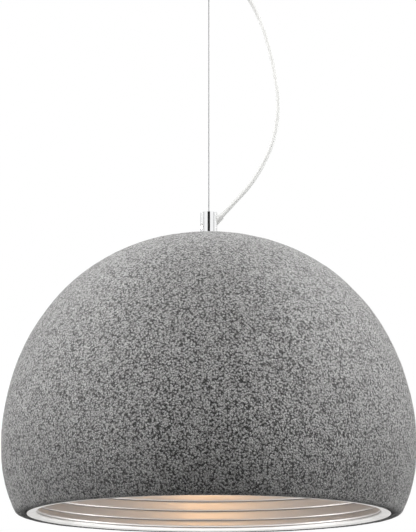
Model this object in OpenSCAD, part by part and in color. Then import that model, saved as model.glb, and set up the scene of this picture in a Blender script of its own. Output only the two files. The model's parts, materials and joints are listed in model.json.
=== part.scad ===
// Pendant ceiling light: a padded felt dome with a ribbed reflector, hung from a canopy
// on a steel wire in a push-release gripper, with a clear power cord beside the wire.
// Units are millimetres, +Z is up, and the origin is where the bracket meets the ceiling.

/* [Suspension] */
// Distance from the ceiling to the lowest point of the shade
drop = 830; // [820:5:900]
// Diameter of the suspension wire
wire_d = 1.5; // [1.2:0.1:1.6]
// Outer diameter of the power cord
cord_d = 7; // [6:0.1:7]

/* [Shade] */
// Diameter of the shade at its widest
shade_d = 600; // [596:1:606]
// Height of the widest point above the lip
belly_h = 100; // [98:1:102]
// Extra radius of the dome at its crown
crown_rise = 10; // [6:0.5:12]
// How far the wall draws in at the lip, against a true sphere
lip_tuck = 6; // [5:0.5:7]
// Thickness of the felt cover
felt_t = 3; // [2:0.5:3.5]
// Thickness of the padded core
core_t = 14; // [14:0.5:15]
// Thickness of the moulded shell
shell_t = 3; // [2:0.5:3]

/* [Reflector] */
// Radius of the reflector at its lower grooves
reflector_r = 266; // [264:0.5:267]
// Extra radius of the reflector at its crown
reflector_rise = 15; // [13:0.5:16]
// Thickness of the reflector sheet at its grooves
reflector_t = 1; // [0.8:0.1:1]
// Height of each rib above its grooves
rib_h = 2; // [1:0.25:2.5]
// Number of full ribs from the lip to the crown
rib_count = 31; // [29:1:31]

/* [Stem] */
// Outer diameter of the stem
stem_d = 24; // [23.8:0.1:25]
// Wall thickness of the stem
stem_wall = 1.5; // [1.2:0.1:1.5]
// Height of the stem above the dome's crown
stem_h = 32.5; // [32:0.5:34]

/* [Canopy] */
// Diameter of the canopy
canopy_d = 140; // [134:1:150]
// Height of the canopy
canopy_h = 30; // [30:0.5:31]
// Distance between the two fixing slots
slot_spacing = 70; // [66:1:76]
// Width of each fixing slot
slot_w = 5; // [4.5:0.1:5.5]
// End to end length of each fixing slot
slot_l = 16; // [12:0.5:18]

/* [Wire gripper] */
// Travel of the release plunger
plunger_travel = 2.5; // [1.5:0.1:3]
// Diameter of the steel balls
ball_d = 3; // [2.8:0.1:3]

/* [Lamp] */
// Diameter of the opal diffuser
diffuser_d = 60; // [58:1:64]

/* [Hidden] */
$fn = 96;
eps = 0.01;

// Fits
press_gap = 0.1;        // between two still parts, one inside the other
run_gap = 0.05;         // radial running clearance
free_gap = 0.3;         // between parts of different bodies

// ---- Dome profile, in polar form about the middle of its widest circle ----
dome_r = shade_d / 2;
dome_z = belly_h - drop;
wall_t = felt_t + core_t + shell_t;
crown_from = 8;         // angle above the widest circle where the crown rise begins, degrees
crown_to = 63;          // angle where it is complete
tuck_angle = 20;        // angle below the widest circle where the tuck is complete
grid_step = 3;          // angle between profile points
felt_edge = -15;        // angle at which the turned-in felt ends inside the lip
hub_angle = 81;         // angle of the hub plates' edges
arc_step = 15;          // angle between points round the lip

function clamp01(v) = max(0, min(1, v));
function ease(v) = v * v * (3 - 2 * v);
function dome_radius(a) = a < 0
    ? dome_r - lip_tuck * pow(-a / tuck_angle, 3)
    : dome_r + crown_rise * ease(clamp01((a - crown_from) / (crown_to - crown_from)));
function dome_point(a, inset) = [
    (dome_radius(a) - inset) * cos(a),
    dome_z + (dome_radius(a) - inset) * sin(a)];
// The lip's middle line meets the lip's own radius above the lowest point of the shade
lip_r = wall_t / 2;
lip_a = -asin((belly_h - lip_r) / (dome_radius(-18.4) - lip_r));
function rising(from, to) = concat([from],
    [for (a = [ceil((from + eps) / grid_step) * grid_step : grid_step : to - eps]) a], [to]);
function falling(from, to) = let (up = rising(to, from)) [for (i = [len(up) - 1 : -1 : 0]) up[i]];
function dome_up(inset, from, to) = [for (a = rising(from, to)) dome_point(a, inset)];
function dome_down(inset, from, to) = [for (a = falling(from, to)) dome_point(a, inset)];
function lip_arc(r, from, to, step) = [for (a = [from : step : to])
    dome_point(lip_a, lip_r) + r * [cos(a), sin(a)]];

// ---- Reflector profile, about the same middle ----
rib_first = -18.4;      // angle of the first full groove
rib_pitch = 3.28;       // angle between grooves
reflector_foot = -20.7; // angle of the reflector's lower edge
liner_rise_from = -12;
ring_t = 1.4;
function liner_radius(a) = reflector_r
    + reflector_rise * ease(clamp01((a - liner_rise_from) / (crown_to - liner_rise_from)));
function liner_point(a, inset) = [
    (liner_radius(a) - inset) * cos(a),
    dome_z + (liner_radius(a) - inset) * sin(a)];
function rib_points(last) = [for (k = [0 : last - 1]) for (half = [0, 1])
    liner_point(rib_first + (k + half / 2) * rib_pitch, half * rib_h)];

// ---- Heights ----
crown_z = dome_z + dome_r + crown_rise;
stem_top = crown_z + stem_h;
stem_r = stem_d / 2;
stem_bore_r = stem_r - stem_wall;
hub_r = dome_r + crown_rise;
shoulder_z = dome_z + hub_r - (wall_t - shell_t - 3);
neck_r = 9;
neck_bore_r = 7;
neck_end = shoulder_z - 21;
hub_plate_t = 4;
hub_top_t = 3;
hub_screw_r = 32;
hub_screw_count = 3;
nut_t = 6;
nut_gap = 0.6;          // clears the dished plate above the flat nut
stem_nut_top = dome_z + hub_r - wall_t - hub_plate_t - nut_gap;
washer_t = 1.4;
washer_r = 38;

// ---- Ceiling parts ----
canopy_r = canopy_d / 2;
canopy_wall = 1;
canopy_edge_r = 6;
canopy_top = -0.5;
bracket_t = 2;
bracket_w = 24;
foot_l = 24;
bridge_z = -10;
bridge_half = slot_spacing / 2 - foot_l / 2;
nipple_r = 5;
nipple_bore_r = 2.5;
nipple_top = -3;
nipple_low = -canopy_h - 7;
nipple_nut_t = 4;
nipple_nut_r = 8;
bush_x = 48;
bush_hole_r = 6.5;
bush_flange_r = 9;
bush_flange_t = 2;
bush_tail_l = 8;
bush_nut_r = 9.8;
block_x = [-32, -14];
block_y = 15;
block_z = [-26, bridge_z - 0.1];
pole_ys = [-10, 0, 10];
earth_at = [6, 15];

// ---- Wire gripper ----
grip_flange_r = 10;
grip_body_r = 7;
grip_top = -canopy_h - 0.1;
grip_low = -52;
grip_ledge = -50;
cage_r = 2.9;
cage_top = nipple_low - 4 - plunger_travel;
plunger_r = 2.5;
plunger_bore_r = 1.1;
plunger_tip = -60;
plunger_collar_r = 4.5;
plunger_collar_top = plunger_tip + 4;
bell_r = 2.2;
pivot_z = -58;
ball_z = -46.5;
ball_count = 3;
ball_ring_r = wire_d / 2 + ball_d / 2 + press_gap;
cone_top_r = 4.6;
cone_top_z = -42.5;
cone_low_r = 3.4;
spring_r = 2.9;
spring_wire_r = 0.35;
spring_turns = 4;

// ---- Cord and wire ----
wire_r = wire_d / 2;
wire_tail_top = -5;
insert_top = stem_top - 1.5;
insert_low = stem_top - 28;
insert_r = stem_bore_r - press_gap;
stop_r = 3;
stop_l = 7;
stop_top = stem_top - 7;
cord_r = cord_d / 2;
cord_sides = 10;
cord_ring_gap = 15;     // about two diameters between rings
// The cord's middle line from inside the stem to inside the canopy, X and Z
cord_route = [[5, -407.5], [12, -400], [20.3, -391.1], [38.8, -370.8], [56.2, -351.3], [70, -331.8],
    [83.4, -306.6], [92.8, -283.4], [99, -257.8], [101.6, -231.2], [100.8, -207], [96.8, -180],
    [89.8, -145.5], [79.8, -111], [69.2, -85.5], [60.6, -69.5], [54.5, -59.5], [50, -50],
    [48, -40], [48, -30], [48, -20]];
cord_exit = [12, -400];     // where the cord's middle line crosses the stem's side, X and Z
cord_tilt = 43;             // tilt of the sleeve from vertical, towards +X
sleeve_r = 4.9;
sleeve_out = 9;
sleeve_in = 4;
cord_grip_r = 4.2;
cord_grip_l = 3.5;
screw_a = 25;               // the stem screw sits this many degrees in front of -X
screw_z = crown_z + 10;
screw_head_r = 3.7;
screw_hole_r = 4.7;
screw_shank_r = 2.5;

// ---- Lampholder and lamp ----
tube_r = 5;
tube_bore_r = 3.5;
tube_low = -515;
holder_top = -508;
holder_joint = -536;
holder_low = -580;
holder_r = 20;
holder_t = 2;
core_top = -538;
core_low = -547;
core_r = 16;
thread_r = 13.4;
thread_t = 0.4;
thread_low = -572;
cap_r = 13.1;
cap_top = -553;
cap_low = -574;
tip_top = -549.6;
tip_r = 4.5;
housing_low = -606;
board_z = -605;
board_r = 24;
chip_count = 12;
chip_ring_r = 17;
diffuser_z = housing_low - 12;
diffuser_r = diffuser_d / 2;
diffuser_t = 1.5;
lead_r = 0.9;
lead_ring_r = 1.9;
lead_sides = 8;

// ---- Shared helpers ----
module ring(r_out, r_in, z_low, z_high) {
    translate([0, 0, z_low])
        difference() {
            cylinder(r = r_out, h = z_high - z_low);
            translate([0, 0, -1])
                cylinder(r = r_in, h = z_high - z_low + 2);
        }
}

module hex_ring(r_out, r_in, z_low, z_high) {
    translate([0, 0, z_low])
        difference() {
            cylinder(r = r_out, h = z_high - z_low, $fn = 6);
            translate([0, 0, -1])
                cylinder(r = r_in, h = z_high - z_low + 2);
        }
}

module rod(r, z_low, z_high) {
    translate([0, 0, z_low])
        cylinder(r = r, h = z_high - z_low);
}

// A tube swept along points, with flat ends; each ring stands square to the route there
function unit(v) = v / norm(v);
function heading(p, i) = unit(p[min(i + 1, len(p) - 1)] - p[max(i - 1, 0)]);
function across(d) = unit(cross(d, abs(d[1]) < 0.9 ? [0, 1, 0] : [1, 0, 0]));
function ring_points(c, d, r, n) = let (u = across(d), v = cross(d, u))
    [for (k = [0 : n - 1]) c + r * (cos(360 * k / n) * u + sin(360 * k / n) * v)];
module sweep(path, r, n) {
    rings = [for (i = [0 : len(path) - 1]) ring_points(path[i], heading(path, i), r, n)];
    last = (len(path) - 1) * n;
    sides = [for (i = [0 : len(path) - 2]) for (k = [0 : n - 1])
        [i * n + k, (i + 1) * n + k, (i + 1) * n + (k + 1) % n, i * n + (k + 1) % n]];
    ends = [[for (k = [0 : n - 1]) k], [for (k = [n - 1 : -1 : 0]) last + k]];
    polyhedron(points = [for (row = rings) for (p = row) p], faces = concat(sides, ends));
}

// Catmull-Rom curve through points, with about one ring for each gap of length
function spline(a, b, c, d, t) = 0.5 * (2 * b + (c - a) * t
    + (2 * a - 5 * b + 4 * c - d) * t * t + (3 * b - a - 3 * c + d) * t * t * t);
function steps(a, b, gap) = max(1, round(norm(b - a) / gap));
function smooth_path(p, gap) = concat(
    [for (i = [0 : len(p) - 2]) let (n = steps(p[i], p[i + 1], gap)) for (k = [0 : n - 1])
        spline(p[max(i - 1, 0)], p[i], p[i + 1], p[min(i + 2, len(p) - 1)], k / n)],
    [p[len(p) - 1]]);

module lead(path) {
    sweep(smooth_path(path, 5 * lead_r), lead_r, lead_sides);
}

module along_cord(from, length, r) {
    translate([cord_exit[0], 0, cord_exit[1]])
        rotate([0, cord_tilt, 0])
            translate([0, 0, from])
                cylinder(r = r, h = length);
}

module at_stem_screw() {
    translate([0, 0, screw_z])
        rotate([0, 0, 180 + screw_a])
            rotate([0, 90, 0])
                children();
}

module at_hub_screws() {
    for (i = [0 : hub_screw_count - 1])
        rotate([0, 0, 90 + i * 360 / hub_screw_count])
            translate([hub_screw_r, 0, 0])
                children();
}

// ---- Ceiling body ----
module ceiling_bracket() {
    color("lightsteelblue")
        difference() {
            union() {
                translate([-bracket_w / 2, -bridge_half, bridge_z])
                    cube([bracket_w, 2 * bridge_half, bracket_t]);
                translate([block_x[0], -8, bridge_z])
                    cube([-block_x[0] - bracket_w / 2 + 1, 16, bracket_t]);
                for (side = [-1, 1])
                    translate([-bracket_w / 2, side > 0 ? bridge_half - bracket_t : -bridge_half, bridge_z])
                        cube([bracket_w, bracket_t, -bridge_z]);
                for (side = [-1, 1])
                    translate([-bracket_w / 2, side > 0 ? bridge_half - bracket_t : -bridge_half - foot_l,
                        -bracket_t])
                        cube([bracket_w, foot_l + bracket_t, bracket_t]);
            }
            for (side = [-1, 1])
                translate([0, side * slot_spacing / 2, -bracket_t - 1])
                    slot();
            translate([0, 0, bridge_z - 1])
                cylinder(r = nipple_r + press_gap, h = bracket_t + 2);
            translate([(block_x[0] + block_x[1]) / 2, 5, bridge_z - 1])
                cylinder(r = 1.6, h = bracket_t + 2);
            translate([earth_at[0], earth_at[1], bridge_z - 1])
                cylinder(r = 2.1, h = bracket_t + 2);
        }
}

module slot() {
    reach = (slot_l - slot_w) / 2;
    for (side = [-1, 1])
        translate([0, side * reach, 0])
            cylinder(d = slot_w, h = bracket_t + 2);
    translate([-slot_w / 2, -reach, 0])
        cube([slot_w, 2 * reach, bracket_t + 2]);
}

module bracket_nipple() {
    color("goldenrod")
        ring(nipple_r, nipple_bore_r, nipple_low, nipple_top);
}

module nipple_nuts() {
    color("silver") {
        hex_ring(nipple_nut_r, nipple_r, bridge_z + bracket_t, bridge_z + bracket_t + nipple_nut_t);
        hex_ring(nipple_nut_r, nipple_r, bridge_z - nipple_nut_t, bridge_z);
    }
}

module canopy_section(r, low, edge) {
    translate([0, low + edge])
        square([r, canopy_top - low - edge]);
    translate([0, low])
        square([r - edge, edge + eps]);
    translate([r - edge, low + edge])
        circle(r = edge);
}

module canopy() {
    color("gainsboro")
        difference() {
            rotate_extrude()
                difference() {
                    canopy_section(canopy_r, -canopy_h, canopy_edge_r);
                    translate([-eps, 0])
                        canopy_section(canopy_r - canopy_wall + eps, canopy_wall - canopy_h,
                            canopy_edge_r - canopy_wall);
                    translate([-eps, canopy_top - 1])
                        square([canopy_r - canopy_wall + eps, 2]);
                    translate([-canopy_r, -canopy_h - 1])
                        square([canopy_r, canopy_h + 2]);
                }
            translate([0, 0, -canopy_h - 1])
                cylinder(r = nipple_r + press_gap, h = canopy_wall + 2);
            translate([bush_x, 0, -canopy_h - 1])
                cylinder(r = bush_hole_r, h = canopy_wall + 2);
        }
}

module cord_bush() {
    flange_low = -canopy_h - bush_flange_t;
    color("whitesmoke")
        translate([bush_x, 0, 0])
            difference() {
                union() {
                    rod(bush_flange_r, flange_low, -canopy_h);
                    rod(bush_hole_r - press_gap, flange_low, -canopy_h + 9);
                    translate([0, 0, flange_low - bush_tail_l])
                        cylinder(r1 = cord_r + 1.2, r2 = cord_r + 3.5, h = bush_tail_l);
                }
                rod(cord_r + 0.4, flange_low - bush_tail_l - 1, -canopy_h + 10);
            }
}

module cord_bush_nut() {
    shelf = canopy_wall - canopy_h;
    color("whitesmoke")
        translate([bush_x, 0, 0])
            hex_ring(bush_nut_r, bush_hole_r - press_gap, shelf, shelf + 4);
}

module terminal_block() {
    mid_z = (block_z[0] + block_z[1]) / 2;
    color("white")
        difference() {
            translate([block_x[0], -block_y, block_z[0]])
                cube([block_x[1] - block_x[0], 2 * block_y, block_z[1] - block_z[0]]);
            for (y = pole_ys) {
                translate([block_x[0] - 1, y, mid_z])
                    rotate([0, 90, 0])
                        cylinder(r = 2.6, h = block_x[1] - block_x[0] + 2);
                for (x = [block_x[0] + 4.5, block_x[1] - 4.5])
                    translate([x, y, block_z[0] - 1])
                        cylinder(r = 1.9, h = mid_z - block_z[0] + 1);
            }
            translate([(block_x[0] + block_x[1]) / 2, 5, block_z[0] - 1])
                cylinder(r = 1.6, h = block_z[1] - block_z[0] + 2);
            translate([(block_x[0] + block_x[1]) / 2, 5, block_z[0] - 1])
                cylinder(r = 2.9, h = 3.2);
        }
}

module terminal_inserts() {
    mid_z = (block_z[0] + block_z[1]) / 2;
    color("gold")
        for (y = pole_ys)
            difference() {
                translate([block_x[0] + 2, y, mid_z])
                    rotate([0, 90, 0])
                        cylinder(r = 2.5, h = block_x[1] - block_x[0] - 4);
                translate([block_x[0], y, mid_z])
                    rotate([0, 90, 0])
                        cylinder(r = 1.5, h = block_x[1] - block_x[0]);
                for (x = [block_x[0] + 4.5, block_x[1] - 4.5])
                    translate([x, y, mid_z - 3])
                        cylinder(r = 1.3, h = 3);
            }
}

module terminal_screws() {
    mid_z = (block_z[0] + block_z[1]) / 2;
    color("silver")
        for (y = pole_ys)
            for (x = [block_x[0] + 4.5, block_x[1] - 4.5])
                translate([x, y, 0])
                    difference() {
                        union() {
                            rod(1.25, mid_z - 2.4, mid_z - 0.9);
                            rod(1.7, mid_z - 5.5, mid_z - 2.6);
                            rod(1.2, mid_z - 2.7, mid_z - 2.3);
                        }
                        translate([-2, -0.3, mid_z - 6])
                            cube([4, 0.6, 1.3]);
                    }
}

module block_screw() {
    color("silver")
        translate([(block_x[0] + block_x[1]) / 2, 5, 0])
            difference() {
                union() {
                    rod(1.5, block_z[0] + 1, bridge_z + bracket_t + 1);
                    rod(2.7, block_z[0], block_z[0] + 2);
                }
                translate([-3, -0.4, block_z[0] - 1])
                    cube([6, 0.8, 2]);
            }
}

module earth_screw() {
    color("gold")
        translate([earth_at[0], earth_at[1], 0])
            difference() {
                union() {
                    rod(2, bridge_z - 4, bridge_z + bracket_t + 2);
                    rod(3.8, bridge_z - 4.6, bridge_z - 2);
                }
                translate([-4, -0.4, bridge_z - 6])
                    cube([8, 0.8, 2.4]);
            }
}

module ceiling_lead_live() {
    color("saddlebrown")
        lead([[48, 1.2, -19], [46.6, 1.8, -15], [38, 8, -13], [24, 18, -15], [6, 22, -18], [-8, 18, -18.5],
            [-13.5, 10.6, -18.1], [-19, 10, -18.05]]);
}

module ceiling_lead_neutral() {
    color("royalblue")
        lead([[48, -1.2, -19], [46.6, -1.8, -15], [38, -8, -13], [24, -18, -15], [6, -20, -18],
            [-8, -18, -18.5], [-13.5, -10.6, -18.1], [-19, -10, -18.05]]);
}

module ceiling_lead_earth() {
    color("yellowgreen")
        lead([[46.4, 0, -18.6], [43, 0, -15.5], [34, 2, -16], [24, 8, -19], [15, 13, -16],
            [10.2, 14.6, -13.4]]);
}

module gripper_body() {
    color("silver")
        difference() {
            union() {
                rod(grip_flange_r, grip_top - 2, grip_top);
                rod(grip_body_r, grip_low, grip_top - 1);
            }
            rod(nipple_r, nipple_low, grip_top + 1);
            rod(cone_top_r, cone_top_z - eps, nipple_low + eps);
            translate([0, 0, grip_ledge])
                cylinder(r1 = cone_low_r, r2 = cone_top_r, h = cone_top_z - grip_ledge);
            rod(plunger_r + run_gap, grip_low - 1, grip_ledge + eps);
        }
}

module gripper_spring() {
    low = cage_top + spring_wire_r + press_gap;
    high = nipple_low - spring_wire_r - press_gap;
    per_turn = 20;
    path = [for (i = [0 : spring_turns * per_turn]) let (a = 360 * i / per_turn)
        [spring_r * cos(a), spring_r * sin(a), low + (high - low) * i / (spring_turns * per_turn)]];
    color("dimgray")
        sweep(path, spring_wire_r, lead_sides);
}

module gripper_plunger() {
    color("silver")
        difference() {
            union() {
                rod(cage_r, grip_ledge, cage_top);
                rod(plunger_r, plunger_tip, grip_ledge + eps);
                rod(plunger_collar_r, plunger_tip, plunger_collar_top);
            }
            rod(plunger_bore_r, plunger_tip - 1, cage_top + 1);
            translate([0, 0, plunger_tip - eps])
                cylinder(r1 = bell_r, r2 = plunger_bore_r, h = plunger_collar_top - plunger_tip);
            at_balls()
                rotate([0, 90, 0])
                    cylinder(r = ball_d / 2 + press_gap, h = 2 * ball_d, center = true);
        }
}

module at_balls() {
    for (i = [0 : ball_count - 1])
        rotate([0, 0, i * 360 / ball_count])
            translate([ball_ring_r, 0, ball_z])
                children();
}

module gripper_balls() {
    color("gainsboro")
        at_balls()
            sphere(d = ball_d);
}

module wire_tail() {
    color("lightgray")
        rod(wire_r, pivot_z + free_gap, wire_tail_top);
}

// ---- Pendant body ----
module suspension_wire() {
    color("lightgray")
        rod(wire_r, stop_top - stop_l + 1, pivot_z);
}

module wire_stop() {
    color("silver")
        difference() {
            rod(stop_r, stop_top - stop_l, stop_top);
            rod(wire_r, stop_top - stop_l + 1, stop_top + 1);
        }
}

module power_cord() {
    route = [for (p = cord_route) [p[0], 0, p[1]]];
    color("aliceblue")
        sweep(smooth_path(route, cord_ring_gap), cord_r, cord_sides);
}

module cord_sleeve() {
    color("aliceblue")
        difference() {
            along_cord(-sleeve_in, sleeve_in + sleeve_out, sleeve_r);
            along_cord(-sleeve_in - 1, sleeve_in + sleeve_out + 2, cord_r + press_gap);
        }
}

module cord_grip() {
    color("silver")
        difference() {
            along_cord(-sleeve_in - press_gap - cord_grip_l, cord_grip_l, cord_grip_r);
            along_cord(-sleeve_in - cord_grip_l - 2, cord_grip_l + 3, cord_r);
        }
}

module stem_tube() {
    chamfer = 0.8;
    color("gainsboro")
        difference() {
            rotate_extrude()
                polygon([[stem_bore_r, stem_top], [stem_r - chamfer, stem_top], [stem_r, stem_top - chamfer],
                    [stem_r, shoulder_z], [neck_r, shoulder_z], [neck_r, neck_end], [neck_bore_r, neck_end],
                    [neck_bore_r, shoulder_z + 2], [stem_bore_r, shoulder_z + 2]]);
            along_cord(-sleeve_in - cord_grip_l, 4 * stem_r, sleeve_r + press_gap);
            at_stem_screw()
                cylinder(r = screw_hole_r, h = stem_r + 1);
        }
}

module stem_insert() {
    color("goldenrod")
        difference() {
            rod(insert_r, insert_low, insert_top);
            rod(wire_r + press_gap, stop_top - 1, insert_top + 1);
            rod(stop_r + press_gap, insert_low - 1, stop_top + 0.1);
            along_cord(-sleeve_in - cord_grip_l - 2, 4 * stem_r, sleeve_r + 2 * press_gap);
            translate([4, 0, 0])
                rod(5.2, insert_low - 1, cord_exit[1] - 3.5);
            at_stem_screw()
                cylinder(r = screw_shank_r, h = stem_r + 1);
            at_stem_screw()
                translate([0, 0, insert_r - 0.4])
                    cylinder(r = screw_hole_r, h = 2);
        }
}

module stem_screw() {
    color("dimgray")
        at_stem_screw()
            difference() {
                union() {
                    translate([0, 0, stem_r - 2])
                        cylinder(r = screw_head_r, h = 1.5);
                    translate([0, 0, 4.4])
                        cylinder(r = screw_shank_r, h = stem_r - 5.4);
                }
                translate([0, 0, stem_r - 1.8])
                    cylinder(r = 1.7, h = 3, $fn = 6);
            }
}

module stem_nut() {
    color("silver")
        hex_ring(15.6, neck_r, stem_nut_top - nut_t, stem_nut_top);
}

module stem_end_plug() {
    color("silver")
        difference() {
            union() {
                rod(neck_bore_r, neck_end - eps, neck_end + 8);
                rod(11, neck_end - 2, neck_end);
            }
            rod(tube_r, neck_end - 3, neck_end + 5);
            rod(tube_bore_r, neck_end, neck_end + 9);
        }
}

module dome_band(inset_out, inset_in, from, to) {
    rotate_extrude()
        polygon(concat(dome_down(inset_out, to, from), dome_up(inset_in, from, to)));
}

module hub_top_plate() {
    color("silver")
        difference() {
            dome_band(wall_t - shell_t - hub_top_t, wall_t - shell_t, hub_angle, 90);
            rod(neck_r + press_gap, shoulder_z - 10, shoulder_z + 10);
            at_hub_screws()
                rod(2, shoulder_z - 20, shoulder_z + 10);
        }
}

module hub_bottom_plate() {
    color("silver")
        difference() {
            dome_band(wall_t, wall_t + hub_plate_t, hub_angle, 90);
            rod(neck_r + press_gap, neck_end, shoulder_z);
            at_hub_screws()
                rod(2.1, neck_end, shoulder_z + 10);
        }
}

module hub_screws() {
    seat = dome_z + sqrt(pow(hub_r - wall_t - hub_plate_t, 2) - pow(hub_screw_r, 2)) - nut_gap;
    color("silver")
        at_hub_screws()
            difference() {
                union() {
                    rod(2, seat - 1, seat + 10);
                    rod(3.5, seat - 2, seat);
                }
                translate([-0.5, -4, seat - 3])
                    cube([1, 8, 1.8]);
            }
}

module shade_felt() {
    color("gray")
        difference() {
            rotate_extrude()
                polygon(concat(
                    dome_down(0, 90, lip_a),
                    lip_arc(lip_r, lip_a - arc_step, lip_a - 180 + arc_step / 2, -arc_step),
                    dome_up(wall_t, lip_a, felt_edge),
                    dome_down(wall_t - felt_t, felt_edge, lip_a),
                    lip_arc(lip_r - felt_t, lip_a - 180 + arc_step, lip_a - arc_step / 2, arc_step),
                    dome_up(felt_t, lip_a, 90)));
            rod(stem_r + 0.5, crown_z - 20, crown_z + 10);
        }
}

module shade_core() {
    color("beige")
        difference() {
            rotate_extrude()
                polygon(concat(
                    dome_down(felt_t, 90, lip_a),
                    lip_arc(lip_r - felt_t, lip_a - arc_step, lip_a - 180 + arc_step / 2, -arc_step),
                    dome_up(wall_t - shell_t, lip_a, hub_angle),
                    dome_up(wall_t - shell_t - hub_top_t, hub_angle, 90)));
            rod(stem_r + 0.5, crown_z - 30, crown_z + 10);
        }
}

module shade_shell() {
    color("dimgray")
        difference() {
            dome_band(wall_t - shell_t, wall_t, felt_edge, 90);
            rod(neck_r + press_gap, neck_end, crown_z);
            at_hub_screws()
                rod(2.1, neck_end, crown_z);
        }
}

// The ring's rounded flange covers the gap between the lip and the reflector, and its wall lies on the shell
module rim_ring() {
    lip = dome_point(lip_a, lip_r);
    inner = liner_point(reflector_foot, 0) - [0.7, 0.6];
    outer = lip - [lip_r * 0.85, lip_r * 0.95];
    bead = [outer[0] - inner[0], inner[1] - 1 - outer[1]];
    wall_low = dome_point(lip_a, wall_t + 0.4);
    wall_high = dome_point(felt_edge + grid_step, wall_t + 0.4);
    color("white")
        rotate_extrude()
            polygon(concat(
                [for (a = [0 : arc_step : 90]) outer + [-bead[0] * sin(a), bead[1] * (1 - cos(a))]],
                [inner, [wall_low[0] - ring_t, outer[1] + ring_t],
                    wall_low - [ring_t, 0], wall_high - [ring_t, 0], wall_high, wall_low,
                    lip - [lip_r + 0.4, 0], lip - [lip_r * 0.99, lip_r * 0.3]]));
}

module reflector() {
    top_a = rib_first + rib_count * rib_pitch;
    foot_mid = (reflector_foot + rib_first) / 2;
    color("lightgray")
        rotate_extrude()
            polygon(concat(
                [for (a = falling(top_a, reflector_foot)) liner_point(a, -reflector_t)],
                [liner_point(reflector_foot, 0), liner_point(foot_mid, rib_h)],
                rib_points(rib_count),
                [liner_point(top_a, 0)]));
}

module reflector_washer() {
    color("white")
        ring(washer_r, neck_r + press_gap, neck_end, neck_end + washer_t);
}

module stem_leads_path(k, end) {
    a = 90 + k * 120;
    x = lead_ring_r * cos(a);
    y = lead_ring_r * sin(a);
    lead([[4.4 + 0.4 * cos(a), 1.2 * sin(a), -408.4], [4 + x, y, -413], [3 + x, y, -422], [x, y, -440],
        [x, y, -470], [x, y, tube_low - 5], end]);
}

module stem_lead_live() {
    color("saddlebrown")
        stem_leads_path(0, [0, 9, -534.6]);
}

module stem_lead_neutral() {
    color("royalblue")
        stem_leads_path(1, [-1.65, -9, -534.6]);
}

module stem_lead_earth() {
    color("yellowgreen")
        lead([[6.2, -1.3, -410], [7, -1.7, -413.4], [7.4, -1.5, -419], [7.4, -1.35, -429]]);
}

// Crimped lug that takes the earth lead to the stem's inner ledge
module earth_lug() {
    color("gold")
        translate([7.4, -1.35, shoulder_z + 2])
            difference() {
                union() {
                    cylinder(r = 1.7, h = 5);
                    translate([-1.7, -1.7, 0])
                        cube([3.6, 3.4, 0.7]);
                }
                translate([0, 0, 0.9])
                    cylinder(r = 1.2, h = 5);
            }
}

module holder_tube() {
    color("gainsboro")
        ring(tube_r, tube_bore_r, tube_low, neck_end + 5);
}

module holder_cap() {
    color("dimgray")
        difference() {
            rotate_extrude()
                polygon([[tube_r, holder_top], [8, holder_top], [10, holder_top - 2], [12, holder_top - 10],
                    [18, holder_top - 16], [holder_r, holder_top - 20], [holder_r, holder_joint],
                    [holder_r - holder_t, holder_joint], [holder_r - holder_t, holder_top - 21],
                    [16, holder_top - 18], [10, holder_top - 12], [tube_r, holder_top - 10]]);
            rod(tube_r, tube_low, holder_top + 1);
        }
}

module holder_skirt() {
    color("dimgray")
        rotate_extrude()
            polygon([[holder_r, holder_joint - 0.1], [holder_r, holder_low + 2], [holder_r - 1, holder_low],
                [15, holder_low], [15, holder_low + 3], [holder_r - holder_t, holder_low + 5],
                [holder_r - holder_t, holder_joint - 0.1]]);
}

module holder_core() {
    color("white")
        difference() {
            union() {
                rod(core_r, core_low, core_top);
                ring(core_r, thread_r + thread_t, core_low - 12, core_low + eps);
            }
            for (side = [-1, 1])
                translate([-3, side * 9 - 3, core_top - 5])
                    cube([6, 6, 6]);
            rod(2.2, core_low - 1, core_top + 1);
        }
}

module holder_thread() {
    color("gold")
        ring(thread_r + thread_t, thread_r, thread_low, core_low);
}

module holder_contact() {
    color("gold") {
        rod(2.1, core_low - 1, core_top - 1);
        translate([0, 0, core_low - 2])
            cylinder(r = 4, h = 1.2);
    }
}

module holder_terminals() {
    color("gold")
        for (side = [-1, 1])
            translate([side > 0 ? 0 : -1.65, side * 9, core_top - 5])
                difference() {
                    translate([side > 0 ? -2.4 : -0.75, -2.4, 0.1])
                        cube([4.8, 4.8, 7]);
                    translate([0, 0, 2])
                        cylinder(r = lead_r + press_gap, h = 6);
                }
}

// ---- Lamp ----
module lamp_cap() {
    color("silver")
        difference() {
            union() {
                rod(cap_r, cap_low, cap_top - 2);
                translate([0, 0, cap_top - 2])
                    cylinder(r1 = cap_r, r2 = 9, h = 2);
            }
            rod(cap_r - 0.5, cap_low - 1, cap_top - 2);
            rod(8.5, cap_low, cap_top + 1);
        }
}

module lamp_insulator() {
    color("black")
        difference() {
            union() {
                rod(8.4, cap_top - 1.5, cap_top + 0.2);
                translate([0, 0, cap_top + 0.2])
                    cylinder(r1 = 8.4, r2 = tip_r, h = 2);
            }
            rod(2, cap_top - 3, cap_top + 3);
        }
}

module lamp_tip() {
    color("silver") {
        rod(1.9, cap_top - 1.5, cap_top + 2.2);
        rod(tip_r, cap_top + 2.2, tip_top);
    }
}

module lamp_housing() {
    color("white")
        difference() {
            rotate_extrude()
                polygon([[0, cap_top - 5], [12.5, cap_top - 5], [12.5, cap_low], [14.2, cap_low],
                    [14.2, holder_low - 1], [20, holder_low - 10], [25.5, holder_low - 20],
                    [27.6, housing_low + 2], [27.6, housing_low], [0, housing_low]]);
            rod(board_r + press_gap, housing_low - 1, board_z);
            rotate_extrude()
                polygon([[0, cap_top - 7], [10.5, cap_top - 7], [10.5, holder_low - 2],
                    [17, holder_low - 11], [22, holder_low - 20], [22, board_z - 1],
                    [0, board_z - 1]]);
        }
}

module led_board() {
    color("white")
        rod(board_r, board_z - 1.6, board_z);
}

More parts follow.
